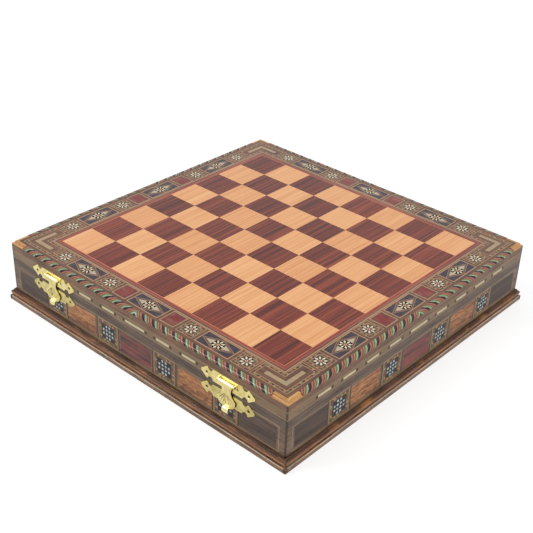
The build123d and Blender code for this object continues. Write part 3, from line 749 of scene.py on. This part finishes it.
# The plinth's colours by height: its wood's tone, with painted shade in the cove under the wall (11.4), in the groove
# (6.0) and at the foot (0.4), and painted highlights on the shoulder (5.1 to 5.5) and on the bead (8.4).
PLINTH_TONE_AND_SHADING = tuple((height / RAMP_HEIGHT, display(*colour)) for height, colour in (
    (0.4, (78, 56, 44)), (1.4, (130, 106, 88)), (4.7, (120, 94, 76)), (5.1, (202, 188, 170)),
    (5.5, (170, 148, 128)), (6.0, (72, 48, 38)), (7.2, (112, 74, 52)), (8.4, (168, 116, 76)),
    (10.2, (128, 86, 62)), (11.4, (66, 43, 34)), (13.2, (96, 72, 58))))
walnut_sides = banded("walnut_sides", SIDE_BANDS, 2.0, 0.72, 0.6, HALF, fleck=0.5)
plinth_wood = banded("plinth_wood", PLINTH_TONE_AND_SHADING, 1.3, 0.6, 0.45, PLINTH_MITRE, length=34.0,
                     gold=0.55)
walnut_border = timber("walnut_border", "round", display(58, 36, 28), display(102, 70, 49),
                       display(132, 94, 66), figure=2.0, coat=GLOSS)
walnut_panel = timber("walnut_panel", "round", display(48, 38, 36), display(78, 63, 56),
                      display(104, 86, 74), figure=3.0, shift=300.0)
walnut_inside = timber("walnut_inside", "y", *WALNUT, shift=700.0)
walnut_divider = timber("walnut_divider", "x", *WALNUT, shift=1100.0)
plain_board = timber("plain_board", "x", display(120, 90, 62), display(160, 126, 90),
                     display(184, 152, 112), figure=7.0)
maple_block = timber("maple_block", "round", display(150, 104, 44), display(190, 138, 78),
                     display(214, 168, 108), figure=2.5, length=30.0, pores=0.15, coat=GLOSS)
maple_square = board_square("maple_square", display(202, 130, 80), display(226, 163, 109),
                            display(238, 184, 130), 1.8, 1.3)
rosewood_square = board_square("rosewood_square", display(54, 14, 10), display(110, 39, 22),
                               display(148, 66, 42), 2.2, 1.9)
light_line = timber("light_line", "round", display(150, 96, 66), display(186, 128, 90),
                    display(206, 152, 112), figure=2.0, pores=0.2, coat=GLOSS)
red_line = timber("red_line", "round", display(112, 24, 16), display(150, 50, 36),
                  display(170, 72, 54), figure=2.0, pores=0.2, coat=GLOSS)
pink_line = timber("pink_line", "round", display(108, 54, 42), display(144, 82, 64),
                   display(168, 110, 88), figure=2.0, pores=0.2, coat=GLOSS)
side_line = timber("side_line", "round", display(108, 88, 68), display(142, 122, 96),
                   display(170, 150, 120), figure=2.0, pores=0.2)
shell = pearl("shell", display(226, 218, 206))
dull_shell = pearl("dull_shell", display(206, 184, 158))
bone = chip("bone", display(196, 186, 150), SATIN, 0.14, 3.0)
CHIPS = {
    "cream": chip("cream_chip", display(222, 210, 178)),
    "tan": chip("tan_chip", display(164, 128, 96)),
    "line": chip("line_chip", display(184, 140, 108), vary=0.06),
    "olive": chip("olive_chip", display(142, 120, 86), SATIN, 0.12),
    "pale": chip("pale_chip", display(174, 181, 182), SATIN, 0.3, 4.0),
    "black": chip("black_chip", display(28, 25, 28)),
    "blue": chip("blue_chip", display(52, 46, 54), vary=0.3, speck=4.0),
    "red": chip("red_chip", display(144, 66, 52)),
    "orange": chip("orange_chip", display(174, 124, 78)),
    "green": chip("green_chip", display(90, 106, 60)),
    "mint": chip("mint_chip", display(104, 156, 116)),
    "pink": chip("pink_chip", display(170, 108, 94)),
    "brown": chip("brown_chip", display(96, 66, 50)),
    "dark": chip("dark_chip", display(62, 46, 40), SATIN),
    "ground": walnut_border,
    "shell": shell,
    "red_shell": tortoise("red_shell"),
}
burl_panel = burl("burl_panel")
red_side_panel = red_panel("red_side_panel")
polished_brass = brass("polished_brass", display(232, 217, 148), display(208, 190, 122), 0.19)
# Painted shade: a darker copy of the brass, for the plates and leaves on the base.
shaded_brass = brass("shaded_brass", display(214, 200, 134), display(184, 168, 106), 0.22)
hasp_brass = brass("hasp_brass", display(230, 216, 150), display(204, 186, 120), 0.18, fluted=True)
# Painted highlight: a paler copy of the brass for the knobs, whose faces catch the light.
highlit_brass = brass("highlit_brass", display(248, 236, 180), display(232, 214, 150), 0.16)
# Painted shade: the sunk screw heads are coloured dark brass, as if in the shadow of their holes.
shaded_screw_brass = brass("shaded_screw_brass", display(96, 78, 46), display(60, 48, 30), 0.4)
red_velvet = velvet("red_velvet", display(120, 18, 28))

NODE_FINISHES = {
    walnut_sides: ("base_front_wall", "base_back_wall", "base_left_wall", "base_right_wall",
                   "lid_front_rail", "lid_back_rail", "lid_left_rail", "lid_right_rail"),
    plinth_wood: ("plinth_front", "plinth_back", "plinth_left", "plinth_right"),
    walnut_inside: ("left_cross_divider", "middle_cross_divider", "right_cross_divider"),
    walnut_divider: ("long_divider",),
    plain_board: ("bottom_panel", "lid_board"),
    red_velvet: ("floor_lining", "lid_lining"),
    walnut_panel: ("side_plain_panels",),
    burl_panel: ("side_burl_panels",),
    red_side_panel: ("side_red_panels",),
    side_line: ("side_light_lines",),
    maple_square: ("light_squares",),
    rosewood_square: ("dark_squares",),
    light_line: ("field_light_line",),
    red_line: ("field_red_line",),
    pink_line: ("field_pink_line",),
    dull_shell: ("corner_chevrons",),
    maple_block: ("corner_blocks",),
    bone: ("side_dashes",),
    polished_brass: ("left_latch_lid_plate", "right_latch_lid_plate", "catch_studs",
                     "hasp_pins", "left_hinge_lid_leaf", "right_hinge_lid_leaf", "hinge_pins"),
    shaded_brass: ("left_latch_base_plate", "right_latch_base_plate", "left_hinge_base_leaf",
                 "right_hinge_base_leaf"),
    hasp_brass: ("left_hasp", "right_hasp"),
    highlit_brass: ("left_knob", "right_knob"),
    shaded_screw_brass: ("latch_base_screws", "latch_lid_screws", "hinge_base_screws",
                  "hinge_lid_screws"),
}
for material, nodes in NODE_FINISHES.items():
    for node in nodes:
        mesh = frame["nodes"][node].data
        mesh.materials.clear()
        mesh.materials.append(material)

PLATE_EDGE, KNOB_EDGE = 0.12, 0.3                   # how far their sharp edges are rounded


def soften(node, width):
    """Rounds the sharp edges of a metal node for show: its triangles are joined, then bevelled."""
    piece = frame["nodes"][node]
    weld = piece.modifiers.new("weld", "WELD")
    weld.merge_threshold = 0.001 * MM
    bevel = piece.modifiers.new("bevel", "BEVEL")
    bevel.width, bevel.segments = width * MM, 2
    bevel.limit_method, bevel.angle_limit = "ANGLE", math.radians(50)


for node in NODE_FINISHES[polished_brass] + NODE_FINISHES[shaded_brass] + NODE_FINISHES[hasp_brass]:
    if node.endswith(("plate", "leaf", "hasp")):
        soften(node, PLATE_EDGE)
for node in NODE_FINISHES[highlit_brass]:
    soften(node, KNOB_EDGE)

# ---- top inlay ---------------------------------------------------------------------------
top = Marquetry("top", TOP, 1.2)
ROW = -HALF + ROW_MIDDLE
GROUND = HALF + level("field_pink_line", 0, 1)      # the border's reach inwards, to the field's lines
BORDER_LINE = (3.0, 1.8)                            # from the border's inner edge outwards
STAR, LEAF = 6.8, (7.3, 9.5, 0.9)                   # radius; near, far and half width
TILE_EDGE = 0.2                                     # inset of a frame's outer edge
DIAMOND_RIM, DIAMOND_GROUND, DIAMOND_STAR = 1.2, 1.7, 6.6
DIAMOND_FRAME = (20.8, 19.9, 16.4, 15.7)            # half lengths of its lines, inwards
DIAMOND_SLANT = 9.4 / 20.8                          # its height for its length
POINT_TIP, POINT_FOOT, POINT_HALF = 15.0, 6.6, 3.7  # a pearly point beside a diamond's star
RED_FRAME = (TILE_EDGE, 1.2, 2.2, 2.7)              # insets of its lines
FRINGE = ("green", "black", "orange", "brown", "green", "red", "dark", "tan")
LINE, FRINGE_WIDE = 0.6, 2.5


def fringed(work, outline_at, edge, pitch):
    """A tile's frame, inwards from an edge: a thin line, a row of triangles, another line."""
    for inset in (edge, edge + LINE + FRINGE_WIDE):
        work.lay("line", bars(outline_at(inset), outline_at(inset + LINE)), 1)
    work.fringe(outline_at(edge + LINE + FRINGE_WIDE / 2), FRINGE, pitch, FRINGE_WIDE * 0.86)


top.lay("ground", edge_strip(BAND_TOP, GROUND), 0)
top.lay("line", edge_strip(*(GROUND - inset for inset in BORDER_LINE)), 1)

for x in places(TOP_ROW, "star"):
    size = (x, ROW, STAR_TILE, TILE)
    fringed(top, lambda inset: inset_rectangle(*size, inset), TILE_EDGE, 2.1)
    top.lay("green", petals(x, ROW, *LEAF, 4, np.pi / 4), 1)
    top.star(x, ROW, STAR)

for x in places(TOP_ROW, "diamond"):
    size = (x, ROW, DIAMOND_TILE, TILE)
    top.lay("line", bars(inset_rectangle(*size, TILE_EDGE), inset_rectangle(*size, DIAMOND_RIM)), 1)
    top.lay("blue", inset_rectangle(*size, DIAMOND_GROUND), 1)
    edges = [rhombus(x, ROW, reach, reach * DIAMOND_SLANT) for reach in DIAMOND_FRAME]
    for colour, outer, inner in zip(("line", "brown", "line"), edges, edges[1:]):
        top.lay(colour, bars(outer, inner), 2)
    top.lay("black", edges[3], 2)
    for way in (-1, 1):
        foot = x + way * POINT_FOOT
        point = [(x + way * POINT_TIP, ROW), (foot, ROW + POINT_HALF), (foot, ROW - POINT_HALF)]
        top.lay("shell", np.array(point)[::way], 3)
    top.star(x, ROW, DIAMOND_STAR, 3)

for x in places(TOP_ROW, "red"):
    size = (x, ROW, RED_TILE, TILE)
    edges = [inset_rectangle(*size, inset) for inset in RED_FRAME]
    for colour, outer, inner in zip(("line", "brown", "brown"), edges, edges[1:]):
        top.lay(colour, bars(outer, inner), 2)
    top.lay("red_shell", edges[3], 2)

fringed(top, inset_leg, TILE_EDGE, 2.2)

# ---- striped band over the top edge --------------------------------------------------------
STRIPES = (("cream", 0.5), ("mint", 2.1), ("brown", 1.3), ("orange", 1.5), ("brown", 1.1),
           ("red", 1.1), ("pink", 1.6), ("brown", 0.7), ("black", 2.9), ("brown", 1.4))
PITCH = sum(width for _, width in STRIPES)
FIRST_STRIPE = -4.0                                 # the run by the middle begins this far from it
RUNS = np.arange(-1, 14)                            # more than reach from the middle to a corner
BAND_DEPTH = 1.2


def band_points(run, reach, depth):
    """The band's surface: run along the side, reach over it from the top's inner edge downwards.

    It is flat on the top, then a quarter of a circle, then flat on the side; depth is inwards.
    """
    flat = BAND_TOP - BAND_ROUND
    arc = BAND_ROUND * np.pi / 2
    angle = np.clip((reach - flat) / BAND_ROUND, 0, np.pi / 2)
    inset = BAND_TOP - np.minimum(reach, flat) - BAND_ROUND * np.sin(angle)
    drop = BAND_ROUND * (1 - np.cos(angle)) + np.maximum(reach - flat - arc, 0)
    return np.stack([run, -HALF + inset + depth * np.sin(angle),
                     TOP - drop - depth * np.cos(angle)], -1)


def stripe_solids(start, width, limit, way):
    """Leaning stripes of one colour on one half of the front, as closed strips over the edge.

    A stripe's edges move outwards by its reach over the band, so it leans at 45 degrees; it is
    cut off at the middle of the side and at the corner block. Way is 1 on the right half, -1 on
    the left, whose stripes are mirrored.
    """
    length = (BAND_TOP - BAND_ROUND) + BAND_ROUND * np.pi / 2 + (BAND_SIDE - BAND_ROUND)
    low = np.clip(-(start + width), 0, length)
    high = np.clip(limit - start, 0, length)
    keep = high - low > 0.05
    start, low, high = start[keep], low[keep], high[keep]
    share = np.linspace(0, 1, 9)
    reach = low[:, None] + (high - low)[:, None] * share
    edges = np.clip(np.stack([start[:, None] + reach, start[:, None] + width + reach], -1),
                    0, limit)
    reach = np.repeat(reach[..., None], 2, -1)
    outside = band_points(way * edges, reach, 0.0)
    inside = band_points(way * edges, reach, BAND_DEPTH)
    points = np.stack([outside, inside], 1)
    count, rows = len(start), len(share)
    cell = grid_faces(rows, 2)
    if way < 0:
        cell = cell[:, ::-1]
    layer = rows * 2
    rim = np.concatenate([np.arange(0, layer, 2), np.arange(layer - 1, 0, -2)])
    after = np.roll(rim, -1)
    walls = np.stack([rim, rim + layer, after + layer, after], -1)
    if way < 0:
        walls = walls[:, ::-1]
    faces = np.concatenate([cell[:, ::-1], cell + layer, walls])
    base = (np.arange(count) * 2 * layer)[:, None, None]
    return points.reshape(-1, 3), (base + faces[None]).reshape(-1, 4)


stripes = {}
offset = 0.0
for colour, width in STRIPES:
    stock = stripes.setdefault(colour, Stock())
    start = RUNS * PITCH + offset + FIRST_STRIPE
    for way in (-1, 1):
        points, faces = stripe_solids(start, width, HALF - BLOCK, way)
        for quarter in range(4):
            stock.add(turned(points, quarter), [faces])
    offset += width

# ---- side inlay --------------------------------------------------------------------------
side = Marquetry("side", 0.0, 0.8)
CHIP, CHIP_PITCH = 2.5, 4.5
MOSAIC_RIM, MOSAIC_FRAME = 1.1, 4.9                 # insets of the rim's and the frame's inner edge
PANEL_HEIGHT = PANEL_HIGH - PANEL_LOW
SIDE_FRINGE = ("green", "orange", "brown", "tan", "green", "red", "brown")
for x in places(SIDE_ROW, "mosaic"):
    size = (x, PANEL_MIDDLE, MOSAIC, PANEL_HEIGHT)
    side.lay("brown", rectangle(*size), 0)
    side.lay("olive", bars(rectangle(*size), inset_rectangle(*size, MOSAIC_RIM)), 1)
    side.fringe(inset_rectangle(*size, (MOSAIC_FRAME + MOSAIC_RIM) / 2), SIDE_FRINGE, 2.3, 3.2)
    side.lay("black", inset_rectangle(*size, MOSAIC_FRAME), 2)
    for i in range(4):
        for j in range(4):
            if (i in (0, 3)) + (j in (0, 3)) < 2:
                spot = (x + (i - 1.5) * CHIP_PITCH, PANEL_MIDDLE + (j - 1.5) * CHIP_PITCH)
                side.lay("pale", rectangle(*spot, CHIP, CHIP), 4)

# thin slips let into the face of a wall, proud of it by a few hundredths of a millimetre
PROUD, DEEP = 0.06, 0.5
POSTS = (("olive", 0.7, 0.7, 2), ("dark", 1.9, 1.6, 1))     # colour, from the mosaic, width, layer
END_GAP, END_SQUARE = 2.2, 3.0                              # dark squares past the ends of a dash
posts = Marquetry("side", PROUD, DEEP)
for x in places(SIDE_ROW, "mosaic"):
    for way in (-1, 1):
        for colour, gap, width, layer in POSTS:
            middle = x + way * (MOSAIC / 2 + gap)
            posts.lay(colour, rectangle(middle, PANEL_MIDDLE, width, PANEL_HEIGHT), layer)

overlay = Marquetry("side", PROUD, DEEP)
for x in DASHES:
    reach = (SHORT_DASH if x else LONG_DASH) / 2 + END_GAP
    for way in ((-1, 1) if x else (1,)):
        for end in (-1, 1):
            spot = (way * x + end * reach, TOP - DASH_DROP)
            overlay.lay("dark", rectangle(*spot, END_SQUARE, END_SQUARE), 3)

rails = Marquetry("side", PROUD, DEEP)
for drop in LINE_DROPS:
    rails.lay("line", rectangle(0, TOP - drop, 2 * HALF, LINE), 2)
rails.stock["line"].piece("lid_side_lines", side_line, "lid", "pale_stringing", ())

# ---- the pieces --------------------------------------------------------------------------
SLOTS = {"black": "ebony", "blue": "ebony", "ground": "walnut", "shell": "bone"}
TOP_NODES = ("border_veneer", "star_tiles", "diamond_tiles", "red_tiles", "corner_tiles")
for colour, stock in top.stock.items():
    stock.piece("top_" + colour + "_inlay", CHIPS[colour], "lid", SLOTS.get(colour, "mosaic"),
                TOP_NODES)
for colour, stock in stripes.items():
    stock.piece("edge_" + colour + "_stripes", CHIPS[colour], "lid", "mosaic",
                ("edge_banding",), weld=True)
for colour, stock in side.stock.items():
    stock.piece("side_" + colour + "_inlay", CHIPS[colour], "base",
                SLOTS.get(colour, "mosaic"), ("side_mosaic_panels",))
overlay.stock["dark"].piece("dash_end_squares", CHIPS["dark"], "lid", "walnut", ())
for colour, stock in posts.stock.items():
    stock.piece("side_" + colour + "_posts", CHIPS[colour], "base", "walnut", ())

# ---- camera, light and floor -------------------------------------------------------------
EYE = (0.6279, -0.7246, 0.6161)
LOOK, FALL, ROLL = (math.radians(a) for a in (-41.163, -30.89, 2.172))
ahead = np.array([math.cos(FALL) * math.sin(LOOK), math.cos(FALL) * math.cos(LOOK),
                  math.sin(FALL)])
across = np.array([math.cos(LOOK), -math.sin(LOOK), 0.0])
upward = np.cross(across, ahead)
right = math.cos(ROLL) * across + math.sin(ROLL) * upward
upright = -math.sin(ROLL) * across + math.cos(ROLL) * upward
lens = bpy.data.cameras.new("camera")
lens.lens, lens.sensor_width = 67.77, 36.0
lens.clip_start, lens.clip_end = 0.01, 50.0
camera = bpy.data.objects.new("camera", lens)
bpy.context.scene.collection.objects.link(camera)
camera.matrix_world = Matrix([(right[i], upright[i], -ahead[i], EYE[i]) for i in range(3)]
                             + [(0, 0, 0, 1)])
bpy.context.scene.camera = camera


def lamp(name, place, size, watts):
    """A square soft lamp that faces the middle of the box."""
    light = bpy.data.lights.new(name, "AREA")
    light.size, light.energy = size, watts
    made = bpy.data.objects.new(name, light)
    bpy.context.scene.collection.objects.link(made)
    made.location = place
    made.rotation_euler = (made.location * -1).to_track_quat("-Z", "Y").to_euler()


lamp("key_lamp", (-1.3, -1.4, 1.8), 1.2, 27)
lamp("fill_lamp", (1.9, -0.5, 1.3), 1.4, 21)
lamp("top_lamp", (-0.1, 0.5, 2.3), 1.4, 11)

world = bpy.data.worlds.new("studio")
world.use_nodes = True
bpy.context.scene.world = world
tree = world.node_tree
tree.nodes.clear()
path = tree.nodes.new("ShaderNodeLightPath")
seen = tree.nodes.new("ShaderNodeMath")
seen.operation = "MAXIMUM"
tree.links.new(path.outputs["Is Camera Ray"], seen.inputs[0])
tree.links.new(path.outputs["Is Glossy Ray"], seen.inputs[1])
soft = tree.nodes.new("ShaderNodeBackground")
soft.inputs["Color"].default_value = (1, 1, 1, 1)
soft.inputs["Strength"].default_value = 0.42
white = tree.nodes.new("ShaderNodeBackground")
white.inputs["Color"].default_value = (1, 1, 1, 1)
white.inputs["Strength"].default_value = 1.0
either = tree.nodes.new("ShaderNodeMixShader")
tree.links.new(seen.outputs[0], either.inputs[0])
tree.links.new(soft.outputs[0], either.inputs[1])
tree.links.new(white.outputs[0], either.inputs[2])
tree.links.new(either.outputs[0], tree.nodes.new("ShaderNodeOutputWorld").inputs[0])

bpy.context.scene.view_settings.view_transform = "Standard"


def floor_piece():
    """A round pale floor, in metres: rings of points, closer together near its middle."""
    rings, steps = np.linspace(0.0, 1.0, 12)[1:] ** 1.5 * 6.0, 64
    angle = np.arange(steps) * 2 * np.pi / steps
    ring = np.stack([np.cos(angle), np.sin(angle), np.zeros(steps)], -1)
    points = np.concatenate([np.zeros((1, 3)), (rings[:, None, None] * ring).reshape(-1, 3)])
    index = 1 + np.arange(len(rings) * steps).reshape(len(rings), steps)
    after = np.roll(index, -1, 1)
    quads = np.stack([index[:-1], index[1:], after[1:], after[:-1]], -1).reshape(-1, 4)
    fan = np.stack([np.zeros(steps, int), index[0], after[0]], -1)
    mesh = bpy.data.meshes.new("floor")
    mesh.from_pydata(points.tolist(), [], quads.tolist() + fan.tolist())
    made = bpy.data.objects.new("floor", mesh)
    bpy.context.scene.collection.objects.link(made)
    return made


floor = floor_piece()
floor_finish = Finish("floor_white", Roughness=0.9, Specular_IOR_Level=0.0)
floor_finish.set("Base Color", (0.93, 0.93, 0.93, 1.0))
glow = floor_finish.node("ShaderNodeEmission", {}, {"Strength": 1.25})
camera_ray = floor_finish.node("ShaderNodeLightPath").outputs["Is Camera Ray"]
x, y, z = floor_finish.place()
past_shadow = (x * x + y * y).root().step(420.0, 900.0)
share = Value(floor_finish, camera_ray) * (past_shadow * 0.5 + 0.5)
mixed = floor_finish.node("ShaderNodeMixShader", {}, {0: share})
floor_finish.tree.links.new(floor_finish.shader.outputs[0], mixed.inputs[1])
floor_finish.tree.links.new(glow.outputs[0], mixed.inputs[2])
floor_finish.tree.links.new(mixed.outputs[0],
                            floor_finish.tree.nodes["Material Output"].inputs["Surface"])
floor.data.materials.append(floor_finish.material)
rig.stage(floor)

with open("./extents.json", "w") as file:
    json.dump({"cad": BODY_BOX, "visual": [list(corner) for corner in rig.bounds()]}, file)
